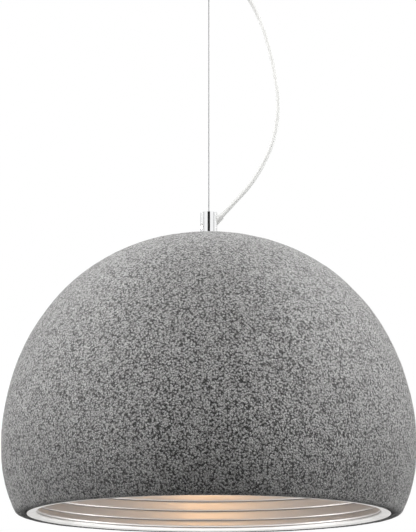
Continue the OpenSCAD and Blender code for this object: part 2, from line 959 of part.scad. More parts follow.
module led_chips() {
    color("khaki")
        for (i = [0 : chip_count - 1])
            rotate([0, 0, i * 360 / chip_count])
                translate([chip_ring_r - 1.4, -1.4, board_z - 2.5])
                    cube([2.8, 2.8, 0.9]);
}

module lamp_diffuser() {
    inner_r = diffuser_r - diffuser_t;
    color("white")
        rotate_extrude()
            difference() {
                translate([0, diffuser_z])
                    circle(r = diffuser_r);
                translate([0, diffuser_z])
                    circle(r = inner_r);
                translate([-diffuser_d, diffuser_z - diffuser_d])
                    square([diffuser_d, 2 * diffuser_d]);
                translate([-1, housing_low - press_gap])
                    square([diffuser_d, diffuser_d]);
            }
}

ceiling_bracket();
bracket_nipple();
nipple_nuts();
canopy();
cord_bush();
cord_bush_nut();
terminal_block();
terminal_inserts();
terminal_screws();
block_screw();
earth_screw();
ceiling_lead_live();
ceiling_lead_neutral();
ceiling_lead_earth();
gripper_body();
gripper_spring();
gripper_plunger();
gripper_balls();
wire_tail();
suspension_wire();
wire_stop();
power_cord();
cord_sleeve();
cord_grip();
stem_tube();
stem_insert();
stem_screw();
stem_nut();
stem_end_plug();
hub_top_plate();
hub_bottom_plate();
hub_screws();
shade_felt();
shade_core();
shade_shell();
rim_ring();
reflector();
reflector_washer();
stem_lead_live();
stem_lead_neutral();
stem_lead_earth();
earth_lug();
holder_tube();
holder_cap();
holder_skirt();
holder_core();
holder_thread();
holder_contact();
holder_terminals();
lamp_cap();
lamp_insulator();
lamp_tip();
lamp_housing();
led_board();
led_chips();
lamp_diffuser();
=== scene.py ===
"""Pendant ceiling light: a felt-covered dome with a ribbed reflector, on a steel wire.

A clear power cord runs beside the wire, in a bow, from the stem to the canopy.

Lengths are in metres, +Z is up, and the origin is where the bracket meets the ceiling.
"""

import json
import math

import bpy
from bpy.props import FloatProperty, FloatVectorProperty, IntProperty, PointerProperty
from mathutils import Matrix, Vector, noise


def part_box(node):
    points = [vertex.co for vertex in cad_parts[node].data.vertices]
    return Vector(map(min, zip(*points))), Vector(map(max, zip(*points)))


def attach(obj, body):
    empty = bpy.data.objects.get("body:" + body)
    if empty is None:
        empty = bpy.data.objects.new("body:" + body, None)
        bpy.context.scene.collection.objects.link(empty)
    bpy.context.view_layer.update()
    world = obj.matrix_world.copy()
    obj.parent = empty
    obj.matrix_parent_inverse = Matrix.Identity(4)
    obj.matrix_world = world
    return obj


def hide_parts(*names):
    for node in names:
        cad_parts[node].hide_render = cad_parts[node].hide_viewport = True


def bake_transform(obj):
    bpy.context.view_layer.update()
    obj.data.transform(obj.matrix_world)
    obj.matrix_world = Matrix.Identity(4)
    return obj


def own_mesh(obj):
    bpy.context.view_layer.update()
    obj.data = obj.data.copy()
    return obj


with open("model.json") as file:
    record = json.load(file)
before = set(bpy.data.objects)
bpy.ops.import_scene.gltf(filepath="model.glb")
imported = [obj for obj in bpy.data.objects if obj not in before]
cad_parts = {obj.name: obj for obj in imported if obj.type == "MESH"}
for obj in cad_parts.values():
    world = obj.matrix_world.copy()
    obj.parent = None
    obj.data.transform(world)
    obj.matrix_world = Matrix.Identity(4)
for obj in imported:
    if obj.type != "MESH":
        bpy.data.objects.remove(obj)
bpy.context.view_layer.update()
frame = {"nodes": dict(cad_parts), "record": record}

bl_info = {
    "name": "Felt Dome Pendant",
    "version": (1, 0, 0),
    "blender": (4, 5, 0),
    "location": "View3D > Sidebar > Pendant",
    "description": "Builds a felt-covered dome pendant light around its packed frame",
    "category": "Object",
}

SHADE_LOW, SHADE_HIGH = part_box("shade_felt")
STEM_LOW, STEM_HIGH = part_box("stem_tube")

# Dome profile, in polar form about the middle of its widest circle
DOME_R = (SHADE_HIGH.x - SHADE_LOW.x) / 2
DOME_MIDDLE = Vector((0.0, SHADE_LOW.z + 0.100))
CROWN_RISE = 0.010
CROWN_SPAN = (8.0, 63.0)
LIP_TUCK = 0.006
TUCK_ANGLE = 20.0
LIP_R = 0.010
LIP_ANGLE = -18.4
FELT_EDGE = -15.0

# Reflector profile, about the same middle
LINER_R = 0.266
LINER_RISE = 0.015
LINER_SPAN = (-12.0, 63.0)
LINER_FOOT = -20.7
FIRST_GROOVE = -18.4
GROOVE_PITCH = 3.28

# Reflector rib: where its points lie between two grooves, how flat its face is, and how quickly the
# shade painted into each groove fades
RIB_SHARES = (0.0, 0.03, 0.06, 0.10, 0.16, 0.3, 0.5, 0.7, 0.84, 0.90, 0.94, 0.97)
RIB_FLATNESS = 10
GROOVE_SHADE_FADE = 16
LINER_SHEET = 0.001

# The felt's hole round the stem
FELT_HOLE = 0.0125

# The cord's three cores, and the wire's strands
CORE_R = 0.0009
CORE_OFFSET = 0.0011
STRANDS = 6
STRAND_LAY = 0.007

# Faces round each turned or swept piece
FELT_SEGMENTS = 360
LINER_SEGMENTS = 288
CORD_SIDES = 24
CORE_SIDES = 10
WIRE_SIDES = 36

# The camera stands a little to the left of the wire, and the floor lies well below the light
CAMERA_X = -0.0012
FLOOR_HEIGHT = -2.2
FLOOR_REACH = 12.0

# The cord's middle line, X and Z in millimetres, from inside the stem to inside the canopy
CORD_ROUTE = [
    (5, -407.5), (12, -400), (20.3, -391.1), (38.8, -370.8), (56.2, -351.3), (70, -331.8),
    (83.4, -306.6), (92.8, -283.4), (99, -257.8), (101.6, -231.2), (100.8, -207), (96.8, -180),
    (89.8, -145.5), (79.8, -111), (69.2, -85.5), (60.6, -69.5), (54.5, -59.5), (50, -50),
    (48, -40), (48, -30), (48, -20),
]


# ---- Settings ---------------------------------------------------------------------------


class FeltSettings(bpy.types.PropertyGroup):
    """The shade's felt cover"""

    thickness: FloatProperty(
        name="Thickness", description="Thickness of the felt", default=0.003, unit="LENGTH"
    )
    # Dark fibres, laid where the felt's nap is low: partly fibre colour, partly painted shade in
    # the pits
    dark_fibre_and_pit_shade: FloatVectorProperty(
        name="Dark fibres", description="Colour of the dark fibres", subtype="COLOR",
        default=(0.03, 0.0295, 0.0285),
    )
    middle: FloatVectorProperty(
        name="Ground", description="Colour of most of the felt", subtype="COLOR",
        default=(0.19, 0.188, 0.184),
    )
    light: FloatVectorProperty(
        name="Light fibres", description="Colour of the light fibres", subtype="COLOR",
        default=(0.66, 0.657, 0.648),
    )
    fleck: FloatProperty(
        name="Fleck size", description="Size of one fleck of fibre", default=0.0022,
        unit="LENGTH", precision=4,
    )
    swell: FloatProperty(
        name="Swell", description="How far the felt's soft face wanders in and out", default=0.0005,
        unit="LENGTH", precision=4,
    )


class ReflectorSettings(bpy.types.PropertyGroup):
    """The ribbed reflector inside the shade"""

    ribs: IntProperty(
        name="Ribs", description="Number of full ribs from the lip to the crown", default=31
    )
    rib_height: FloatProperty(
        name="Rib height", description="Height of a rib above its grooves", default=0.002,
        unit="LENGTH",
    )
    colour: FloatVectorProperty(
        name="Colour", description="Colour of the ribs", subtype="COLOR", default=(0.72, 0.70, 0.69)
    )
    # Painted shade: the colour the ribs darken to at their grooves, standing in for the shade that
    # falls there
    groove: FloatVectorProperty(
        name="Groove colour", description="Colour deep in the grooves", subtype="COLOR",
        default=(0.06, 0.05, 0.045),
    )


class CordSettings(bpy.types.PropertyGroup):
    """The clear power cord and the suspension wire"""

    cord_diameter: FloatProperty(
        name="Cord diameter", description="Diameter of the power cord", default=0.007, unit="LENGTH"
    )
    wire_diameter: FloatProperty(
        name="Wire diameter", description="Diameter of the suspension wire", default=0.0015,
        unit="LENGTH",
    )
    core_twist: FloatProperty(
        name="Core twist", description="Length of one turn of the cord's cores", default=0.30,
        unit="LENGTH",
    )
    jacket: FloatVectorProperty(
        name="Jacket colour", description="Tint of the clear jacket", subtype="COLOR",
        default=(0.60, 0.60, 0.59),
    )


class LampSettings(bpy.types.PropertyGroup):
    """The lamp's glow"""

    glow: FloatVectorProperty(
        name="Glow", description="Colour of the lit diffuser", subtype="COLOR",
        default=(1.0, 0.55, 0.20),
    )
    strength: FloatProperty(
        name="Strength", description="Brightness of the lit diffuser", default=12.0
    )


class StudioSettings(bpy.types.PropertyGroup):
    """The camera and the lights"""

    distance: FloatProperty(
        name="Camera distance", description="Distance in front of the wire", default=5.5,
        unit="LENGTH",
    )
    height: FloatProperty(
        name="Camera height", description="Height of the camera, below the ceiling",
        default=-1.3854, unit="LENGTH",
    )
    tilt: FloatProperty(
        name="Camera tilt", description="Upward tilt", default=math.radians(9.482), subtype="ANGLE"
    )
    lens: FloatProperty(name="Lens", description="Focal length in millimetres", default=259.1)
    surround: FloatProperty(
        name="Surround", description="Brightness of the white surround", default=1.0
    )
    fill: FloatProperty(
        name="Fill", description="Share of the surround that lights matt surfaces", default=0.20
    )
    sides: FloatProperty(
        name="Side lights", description="Power of each side light in watts", default=50.0
    )
    backs: FloatProperty(
        name="Back lights", description="Power of each back light in watts", default=55.0
    )
    front: FloatProperty(
        name="Front light", description="Power of the front light in watts", default=44.0
    )
    top: FloatProperty(
        name="Top light", description="Power of the top light in watts", default=47.0
    )


# ---- Material nodes ---------------------------------------------------------------------


class Value:
    """A node's output. Arithmetic on it adds Math nodes."""

    def __init__(self, tree, socket):
        self.tree = tree
        self.socket = socket

    def math(self, operation, *terms):
        sockets = dict(enumerate(terms))
        return self.tree.add("ShaderNodeMath", {"operation": operation}, sockets)

    def __add__(self, other):
        return self.math("ADD", self, other)

    def __sub__(self, other):
        return self.math("SUBTRACT", self, other)

    def __mul__(self, other):
        return self.math("MULTIPLY", self, other)

    def __rsub__(self, other):
        return self.math("SUBTRACT", other, self)

    __radd__ = __add__
    __rmul__ = __mul__


class Tree:
    """The nodes of a material or of the world."""

    def __init__(self, owner):
        owner.use_nodes = True
        self.nodes = owner.node_tree.nodes
        self.links = owner.node_tree.links

    def put(self, node, sockets):
        """Sets or links a node's sockets, by name or by number."""
        for key, value in sockets.items():
            socket = node.inputs[key]
            if isinstance(value, Value):
                self.links.new(value.socket, socket)
            elif hasattr(value, "__len__") and socket.type == "RGBA":
                socket.default_value = (*value[:3], 1.0)
            else:
                socket.default_value = value

    def add(self, kind, settings=None, sockets=None, output=0):
        """Adds a node and gives one of its outputs."""
        node = self.nodes.new(kind)
        for key, value in (settings or {}).items():
            setattr(node, key, value)
        self.put(node, sockets or {})
        return Value(self, node.outputs[output])


class Finish(Tree):
    """A material: one Principled shader, and the nodes that feed it."""

    def __init__(self, name, **constants):
        self.material = bpy.data.materials.new(f"{name}_finish")
        super().__init__(self.material)
        self.shader = self.nodes["Principled BSDF"]
        self.feed(**constants)

    def feed(self, **values):
        """Sets the shader's constants, or links varying values to it."""
        self.put(self.shader, {key.replace("_", " "): value for key, value in values.items()})

    def place(self):
        """Where on the object, in metres."""
        return self.add("ShaderNodeTexCoord", output="Object")

    def stretched(self, x, y, z):
        """The place, with each axis multiplied."""
        sockets = {0: self.place(), 1: (x, y, z)}
        return self.add("ShaderNodeVectorMath", {"operation": "MULTIPLY"}, sockets)

    def grain(self, size, detail=2.0, roughness=0.5, where=None):
        """Noise from 0 to 1 whose features are about size metres across."""
        sockets = {
            "Vector": where or self.place(), "Scale": 1 / size,
            "Detail": detail, "Roughness": roughness,
        }
        return self.add("ShaderNodeTexNoise", None, sockets)

    def cells(self, size):
        """Distance to the nearest of points scattered about size metres apart, in that size."""
        return self.add("ShaderNodeTexVoronoi", None, {"Vector": self.place(), "Scale": 1 / size})

    def between(self, value, low, high):
        """The value stretched so that low gives 0 and high gives 1, and held there."""
        sockets = {"Value": value, "From Min": low, "From Max": high}
        return self.add("ShaderNodeMapRange", {"clamp": True}, sockets)

    def mix(self, factor, first, second):
        """Two colours mixed."""
        sockets = {0: factor, 6: first, 7: second}
        return self.add("ShaderNodeMix", {"data_type": "RGBA"}, sockets, output=2)

    def bump(self, height, depth, strength=1.0):
        """Raises the surface by height times depth metres."""
        sockets = {"Height": height, "Distance": depth, "Strength": strength}
        self.feed(Normal=self.add("ShaderNodeBump", None, sockets))


# ---- Finishes ---------------------------------------------------------------------------


def felt_finish():
    """Thick pressed wool felt: a craggy grey nap with light and dark flecks, and a soft fuzz. The
    dark flecks lie where the nap is low, so they are partly dark fibres and partly painted shade in
    its pits.
    """
    felt = bpy.context.scene.pendant_felt
    made = Finish(
        "felt", Roughness=0.95, Sheen_Weight=0.4, Sheen_Roughness=0.35, Specular_IOR_Level=0.1
    )
    fine = made.grain(felt.fleck, detail=4.0, roughness=0.9)
    broad = made.grain(felt.fleck * 5, detail=3.0, roughness=0.7)
    grit = made.cells(felt.fleck * 1.3)
    nap = fine * 0.55 + broad * 0.20 + (0.45 - grit) * 0.35
    fibre = made.grain(felt.fleck * 0.6, detail=2.0, roughness=0.8)
    ground = made.mix(made.between(fibre, 0.44, 0.62), felt.middle, felt.light)
    # Darker where the nap is low: dark fibres, and painted shade in the nap's pits
    made.feed(Base_Color=made.mix(made.between(nap, 0.40, 0.28), ground, felt.dark_fibre_and_pit_shade))
    made.bump(nap, 0.006, 1.0)
    return made.material


def padding_finish():
    """Needled wadding."""
    made = Finish("padding", Roughness=1.0)
    fibres = made.grain(0.003, detail=4.0, where=made.stretched(1.0, 1.0, 0.3))
    made.feed(Base_Color=made.mix(fibres, (0.62, 0.60, 0.55), (0.85, 0.83, 0.78)))
    made.bump(fibres, 0.001)
    return made.material


def reflector_finish():
    """Satin ribbed metal, with shade painted dark into its grooves."""
    liner = bpy.context.scene.pendant_reflector
    made = Finish("reflector", Metallic=1.0)
    # depth: how far into the painted groove shade a point lies, 1 at a groove; the base colour
    # darkens with it
    depth = made.add("ShaderNodeAttribute", {"attribute_name": "groove"}, output="Fac")
    haze = made.grain(0.05, detail=2.0)
    colour = made.mix(haze * 0.25, liner.colour, (0.62, 0.60, 0.585))
    made.feed(Base_Color=made.mix(depth, colour, liner.groove))
    brushing = made.grain(0.004, detail=2.0, where=made.stretched(1.0, 1.0, 6.0))
    made.feed(Roughness=0.34 + brushing * 0.12 + haze * 0.05)
    made.bump(brushing, 0.00005, 0.4)
    return made.material


def metal_finish(name, colour, roughness, wear=0.06, grain_size=0.004):
    """Plated or polished metal with faint wipe marks."""
    made = Finish(name, Metallic=1.0)
    smears = made.grain(grain_size * 8, detail=3.0)
    fine = made.grain(grain_size, detail=2.0)
    worn = tuple(part * (1 - 2 * wear) for part in colour)
    made.feed(Base_Color=made.mix(made.between(smears, 0.45, 0.75), colour, worn))
    made.feed(Roughness=roughness + smears * wear + fine * wear * 0.5)
    made.bump(fine, 0.00002, 0.3)
    return made.material


def plastic_finish(name, colour, roughness, grain_size=0.0012):
    """Moulded plastic with a fine skin."""
    made = Finish(name, Specular_IOR_Level=0.45)
    skin = made.grain(grain_size, detail=2.0)
    cloud = made.grain(grain_size * 20, detail=1.0)
    deeper = tuple(part * 0.9 for part in colour)
    made.feed(Base_Color=made.mix(cloud, colour, deeper))
    made.feed(Roughness=roughness + skin * 0.08)
    made.bump(skin, 0.00003, 0.5)
    return made.material


def clear_finish():
    """Clear, slightly milky plastic."""
    cord = bpy.context.scene.pendant_cord
    made = Finish("clear_plastic", Specular_IOR_Level=0.35)
    cloud = made.grain(0.02, detail=2.0)
    milky = tuple(part * 0.97 for part in cord.jacket)
    made.feed(Base_Color=made.mix(cloud, cord.jacket, milky))
    made.feed(Roughness=0.30 + cloud * 0.10, Alpha=0.56 + cloud * 0.08)
    return made.material


def striped_sleeve_finish():
    """Green wire sleeve with a yellow stripe."""
    made = Finish("earth_sleeve", Specular_IOR_Level=0.45)
    sockets = {"Vector": made.place(), "Scale": 90.0}
    wave = made.add("ShaderNodeTexWave", {"bands_direction": "DIAGONAL"}, sockets)
    stripe = made.between(wave, 0.45, 0.55)
    made.feed(Base_Color=made.mix(stripe, (0.06, 0.30, 0.05), (0.75, 0.65, 0.05)))
    made.feed(Roughness=0.35 + made.grain(0.002) * 0.1)
    return made.material


def opal_finish():
    """Opal plastic, lit from inside."""
    lamp = bpy.context.scene.pendant_lamp
    made = Finish("opal", Roughness=0.35, Emission_Strength=lamp.strength)
    cloud = made.grain(0.02, detail=1.0)
    dimmer = tuple(part * 0.92 for part in lamp.glow)
    made.feed(Base_Color=made.mix(cloud, (0.92, 0.90, 0.86), (0.88, 0.86, 0.82)))
    made.feed(Emission_Color=made.mix(cloud, lamp.glow, dimmer))
    return made.material


def led_finish():
    """Yellow phosphor over each chip."""
    made = Finish("led", Roughness=0.4, Emission_Strength=4.0)
    speck = made.grain(0.0006, detail=2.0)
    made.feed(Base_Color=made.mix(speck, (0.95, 0.80, 0.30), (0.85, 0.66, 0.18)))
    made.feed(Emission_Color=made.mix(speck, (1.0, 0.80, 0.45), (1.0, 0.72, 0.35)))
    return made.material


FINISHES = {
    "felt": felt_finish,
    "padding": padding_finish,
    "reflector": reflector_finish,
    "clear_plastic": clear_finish,
    "earth_sleeve": striped_sleeve_finish,
    "opal": opal_finish,
    "led": led_finish,
    "zinc": lambda: metal_finish("zinc", (0.62, 0.63, 0.65), 0.32, wear=0.12),
    "chrome": lambda: metal_finish("chrome", (0.92, 0.925, 0.93), 0.03, wear=0.03),
    "nickel": lambda: metal_finish("nickel", (0.78, 0.76, 0.72), 0.16, wear=0.08),
    "brass": lambda: metal_finish("brass", (0.83, 0.63, 0.28), 0.22, wear=0.12),
    "wire_steel": lambda: metal_finish("wire_steel", (0.17, 0.171, 0.175), 0.5, grain_size=0.001),
    "dark_steel": lambda: metal_finish("dark_steel", (0.05, 0.05, 0.055), 0.4, wear=0.10),
    "satin_ring": lambda: metal_finish("satin_ring", (0.74, 0.73, 0.72), 0.34, wear=0.06),
    "white_paint": lambda: plastic_finish("white_paint", (0.88, 0.88, 0.87), 0.28),
    "white_plastic": lambda: plastic_finish("white_plastic", (0.87, 0.87, 0.85), 0.30),
    "black_plastic": lambda: plastic_finish("black_plastic", (0.025, 0.025, 0.026), 0.42),
    "shell": lambda: plastic_finish("shell", (0.06, 0.06, 0.06), 0.55),
    "brown_sleeve": lambda: plastic_finish("brown_sleeve", (0.20, 0.09, 0.04), 0.35),
    "blue_sleeve": lambda: plastic_finish("blue_sleeve", (0.05, 0.17, 0.48), 0.35),
    "ceramic": lambda: plastic_finish("ceramic", (0.86, 0.85, 0.80), 0.50, grain_size=0.0008),
}


def finish(slot):
    """A slot's material, made the first time it is asked for."""
    return bpy.data.materials.get(f"{slot}_finish") or FINISHES[slot]()


def dress_nodes(names):
    """Gives CAD nodes the finish of their record slot."""
    slots = {part["node"]: part["material_slot"] for part in frame["record"]["subparts"]}
    for name in names:
        mesh = frame["nodes"][name].data
        mesh.materials.clear()
        mesh.materials.append(finish(slots[name]))


# ---- Meshes -----------------------------------------------------------------------------


def add_mesh(name, points, faces, slot):
    """A smooth mesh object with one finish."""
    mesh = bpy.data.meshes.new(name)
    mesh.from_pydata(points, [], faces)
    mesh.materials.append(finish(slot))
    mesh.shade_smooth()
    piece = bpy.data.objects.new(name, mesh)
    bpy.context.scene.collection.objects.link(piece)
    return piece


def grid_faces(rows, columns, closed_rows):
    """Faces of a grid whose columns close on themselves."""
    last = rows if closed_rows else rows - 1
    return [
        (
            row * columns + column,
            row * columns + (column + 1) % columns,
            (row + 1) % rows * columns + (column + 1) % columns,
            (row + 1) % rows * columns + column,
        )
        for row in range(last)
        for column in range(columns)
    ]


def lathe(name, outline, segments, slot):
    """A closed outline of radius and height, turned about the wire's line."""
    points = [
        (radius * math.cos(turn), radius * math.sin(turn), height)
        for radius, height in outline
        for turn in (math.tau * column / segments for column in range(segments))
    ]
    return add_mesh(name, points, grid_faces(len(outline), segments, True), slot)


def sweep(name, path, sections, slot):
    """A solid along a path, with one ring of section points for each point of the path."""
    sides = len(sections[0])
    points = [point for section in sections for point in section]
    faces = grid_faces(len(path), sides, False)
    faces.append(tuple(reversed(range(sides))))
    faces.append(tuple(range((len(path) - 1) * sides, len(path) * sides)))
    return add_mesh(name, points, faces, slot)


def spread(low, high, step):
    """Evenly spaced values from low to high, both included, at most step apart."""
    count = max(1, math.ceil(abs(high - low) / step))
    return [low + (high - low) * number / count for number in range(count + 1)]


def ease(value):
    """A smooth step from 0 to 1."""
    held = max(0.0, min(1.0, value))
    return held * held * (3 - 2 * held)


def heading_at(degrees):
    """A unit vector at an angle above the level line."""
    angle = math.radians(degrees)
    return Vector((math.cos(angle), math.sin(angle)))


def polar(radius, angle):
    """A point of a profile, as radius and height."""
    return DOME_MIDDLE + radius * heading_at(angle)


def dome(angle, inset=0.0):
    """A point on the shade's outer face, or inset from it."""
    if angle < 0:
        radius = DOME_R - LIP_TUCK * (-angle / TUCK_ANGLE) ** 3
    else:
        share = (angle - CROWN_SPAN[0]) / (CROWN_SPAN[1] - CROWN_SPAN[0])
        radius = DOME_R + CROWN_RISE * ease(share)
    return polar(radius - inset, angle)


def liner(angle, inset=0.0):
    """A point on the reflector's groove line, or inset from it."""
    rise = ease((angle - LINER_SPAN[0]) / (LINER_SPAN[1] - LINER_SPAN[0]))
    return polar(LINER_R + LINER_RISE * rise - inset, angle)


def lip_arc(radius, start, end, step=7.5):
    """Part of a circle about the lip's middle."""
    middle = dome(LIP_ANGLE, LIP_R)
    return [middle + radius * heading_at(angle) for angle in spread(start, end, step)]


def route_curve(points, gap):
    """A smooth curve through points, as points about gap apart."""
    line = []
    for number in range(len(points) - 1):
        before = points[max(number - 1, 0)]
        start, end = points[number], points[number + 1]
        after = points[min(number + 2, len(points) - 1)]
        count = max(1, round((end - start).length / gap))
        for step in range(count):
            t = step / count
            pull = 2 * before - 5 * start + 4 * end - after
            twist = 3 * start - before - 3 * end + after
            line.append(0.5 * (2 * start + (end - before) * t + pull * t * t + twist * t ** 3))
    return line + [points[-1]]


def line_length(line):
    """Length of a line of points."""
    return sum((b - a).length for a, b in zip(line, line[1:]))


def headings(line):
    """The way a line runs at each of its points."""
    last = len(line) - 1
    return [(line[min(i + 1, last)] - line[max(i - 1, 0)]).normalized() for i in range(last + 1)]


def round_sections(line, radius, sides, offset=0.0, turn_length=1.0, phase=0.0):
    """Rings square to a line in the XZ plane, or square to a helix of that offset round it."""
    sections = []
    travelled = 0.0
    for number, (point, heading) in enumerate(zip(line, headings(line))):
        if number:
            travelled += (point - line[number - 1]).length
        side = Vector((0, 1, 0))
        up = heading.cross(side)
        turn = phase + math.tau * travelled / turn_length
        middle = point + offset * (math.cos(turn) * side + math.sin(turn) * up)
        angles = [math.tau * k / sides for k in range(sides)]
        sections.append([
            middle + radius * (math.cos(angle) * side + math.sin(angle) * up) for angle in angles
        ])
    return sections


def swell(piece, amount, size, inner_radius):
    """Moves a soft face in and out a little, except close to the stem."""
    for vertex in piece.data.vertices:
        outward = Vector((vertex.co.x, vertex.co.y, vertex.co.z - DOME_MIDDLE.y)).normalized()
        wander = noise.noise(vertex.co / size) + 0.5 * noise.noise(vertex.co / (size * 0.35))
        clear = ease((math.hypot(vertex.co.x, vertex.co.y) - inner_radius) / 0.02)
        vertex.co += outward * (amount * wander * clear)


# ---- Operators --------------------------------------------------------------------------


class PENDANT_OT_stage(bpy.types.Operator):
    """Set up the camera, the lights and the floor"""

    bl_idname = "pendant.stage"
    bl_label = "Stage"

    def execute(self, context):
        studio = context.scene.pendant_studio
        camera = bpy.data.cameras.new("camera")
        camera.lens = studio.lens
        camera.sensor_width = 36.0
        camera.clip_end = 100.0
        viewer = bpy.data.objects.new("camera", camera)
        viewer.location = (CAMERA_X, -studio.distance, studio.height)
        viewer.rotation_euler = (math.pi / 2 + studio.tilt, 0.0, 0.0)
        context.scene.collection.objects.link(viewer)
        context.scene.camera = viewer
        context.scene.view_settings.view_transform = "Standard"

        context.scene.world = add_surround(studio.surround, studio.fill)
        middle = Vector((0.0, 0.0, (SHADE_LOW.z + SHADE_HIGH.z) / 2))
        lights = (
            ("left_light", (-2.4, 0.0, -0.12), (1.0, 1.2), studio.sides),
            ("right_light", (2.4, 0.0, -0.12), (1.0, 1.2), studio.sides),
            ("left_back_light", (-2.0, 1.3, 1.25), (1.4, 1.1), studio.backs),
            ("right_back_light", (2.0, 1.3, 1.25), (1.4, 1.1), studio.backs),
            ("front_light", (0.0, -1.9, 1.6), (2.0, 1.0), studio.front),
            ("top_light", (0.0, -1.3, 2.1), (2.0, 1.0), studio.top),
        )
        for name, offset, size, power in lights:
            add_area(name, middle, offset, size, power)
        add_card("dark_card", (0.0, -6.6, -0.8), (4.2, 4.8), 0.03)
        add_card("back_card", (0.0, 4.6, -0.2), (6.4, 3.2), 0.50)
        for name, side in (("left", -1), ("right", 1)):
            turn = math.radians(side * 75)
            add_card(f"{name}_grey_card", (side * 2.9, -0.78, 0.0), (1.2, 2.4), 0.60, turn)
        add_floor()
        return {"FINISHED"}


def add_surround(strength, fill):
    """A white world, full bright to the eye and in reflections, dimmer on matt surfaces."""
    world = bpy.data.worlds.new("surround")
    tree = Tree(world)
    bright, glossy, clear = (
        tree.add("ShaderNodeLightPath", output=f"Is {kind} Ray")
        for kind in ("Camera", "Glossy", "Transmission")
    )
    for ray in (glossy, clear):
        bright = bright.math("MAXIMUM", bright, ray)
    sockets = {"Value": bright, "To Min": strength * fill, "To Max": strength}
    level = tree.add("ShaderNodeMapRange", None, sockets)
    tree.put(tree.nodes["Background"], {"Color": (1.0, 1.0, 1.0), "Strength": level})
    return world


def add_area(name, target, offset, size, power):
    """A soft rectangular light at an offset from its target, unseen by the camera."""
    lamp = bpy.data.lights.new(name, "AREA")
    lamp.shape = "RECTANGLE"
    lamp.size, lamp.size_y = size
    lamp.energy = power
    light = bpy.data.objects.new(name, lamp)
    light.location = target + Vector(offset)
    light.rotation_euler = (-Vector(offset)).to_track_quat("-Z", "Y").to_euler()
    light.visible_camera = False
    bpy.context.scene.collection.objects.link(light)


def add_card(name, place, size, grey, turn=0.0):
    """An upright card turned about Z, seen only in reflections."""
    half_width, half_height = size[0] / 2, size[1] / 2
    corners = [
        (-half_width, 0, -half_height), (half_width, 0, -half_height),
        (half_width, 0, half_height), (-half_width, 0, half_height),
    ]
    mesh = bpy.data.meshes.new(name)
    mesh.from_pydata(corners, [], [(0, 1, 2, 3)])
    made = Finish(name, Roughness=0.9)
    made.feed(Base_Color=made.mix(made.grain(0.3), [grey] * 3, [grey * 1.2] * 3))
    mesh.materials.append(made.material)
    card = bpy.data.objects.new(name, mesh)
    card.location = place
    card.rotation_euler.z = turn
    for rays in ("camera", "diffuse", "transmission", "shadow"):
        setattr(card, f"visible_{rays}", False)
    bpy.context.scene.collection.objects.link(card)


def add_floor():
    """A plain pale floor, well below the light."""
    mesh = bpy.data.meshes.new("floor")
    corners = [
        (across * FLOOR_REACH, along * FLOOR_REACH, FLOOR_HEIGHT)
        for across, along in ((-1, -1), (1, -1), (1, 1), (-1, 1))
    ]
    mesh.from_pydata(corners, [], [(0, 1, 2, 3)])
    made = Finish("floor", Roughness=0.8, Emission_Strength=0.30)
    made.feed(Base_Color=made.mix(made.grain(0.4), (0.80, 0.80, 0.79), (0.84, 0.84, 0.83)))
    mesh.materials.append(made.material)
    floor = bpy.data.objects.new("floor", mesh)
    floor.visible_diffuse = False
    bpy.context.scene.collection.objects.link(floor)


class PENDANT_OT_power_cord(bpy.types.Operator):
    """Lay the clear power cord and its three cores from the stem to the canopy"""

    bl_idname = "pendant.power_cord"
    bl_label = "Power cord"

    def execute(self, context):
        cord = context.scene.pendant_cord
        line = route_curve([Vector((x, 0, z)) / 1000 for x, z in CORD_ROUTE], 0.003)
        round_jacket = round_sections(line, cord.cord_diameter / 2, CORD_SIDES)
        jacket = sweep("cord_jacket", line, round_jacket, "clear_plastic")
        cores = []
        for number in range(3):
            phase = math.tau * number / 3
            sections = round_sections(
                line, CORE_R, CORE_SIDES, CORE_OFFSET, cord.core_twist, phase
            )
            cores.append(sweep(f"cord_core_{number + 1}", line, sections, "white_plastic"))
        for piece in (jacket, *cores):
            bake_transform(piece)
        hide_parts("power_cord")
        line_length(line)
        dress_nodes(["cord_sleeve", "cord_grip", "cord_bush", "cord_bush_nut"])
        return {"FINISHED"}


class PENDANT_OT_suspension_wire(bpy.types.Operator):
    """Run the stranded steel wire from the gripper to the stem"""

    bl_idname = "pendant.suspension_wire"
    bl_label = "Suspension wire"

    def execute(self, context):
        for node, name, body in (
            ("suspension_wire", "wire_rope", "pendant"),
            ("wire_tail", "wire_rope_tail", "ceiling"),
        ):
            low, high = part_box(node)
            line = [Vector((0, 0, z)) for z in spread(high.z, low.z, 0.0005)]
            rope = sweep(name, line, strand_sections(line), "wire_steel")
            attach(rope, body)
            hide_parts(node)
            if node == "suspension_wire":
                line_length(line)
        dress_nodes(["wire_stop"])
        return {"FINISHED"}


def strand_sections(line):
    """Six strands laid round a seventh, as one twisted six-lobed section."""
    radius = bpy.context.scene.pendant_cord.wire_diameter / 2
    sections = []
    for point in line:
        twist = math.tau * point.z / STRAND_LAY
        ring = []
        for k in range(WIRE_SIDES):
            angle = math.tau * k / WIRE_SIDES
            lobe = radius * (0.84 + 0.16 * abs(math.cos(STRANDS / 2 * angle)))
            turn = angle + twist
            ring.append(point + lobe * Vector((math.cos(turn), math.sin(turn), 0)))
        sections.append(list(reversed(ring)))
    return sections


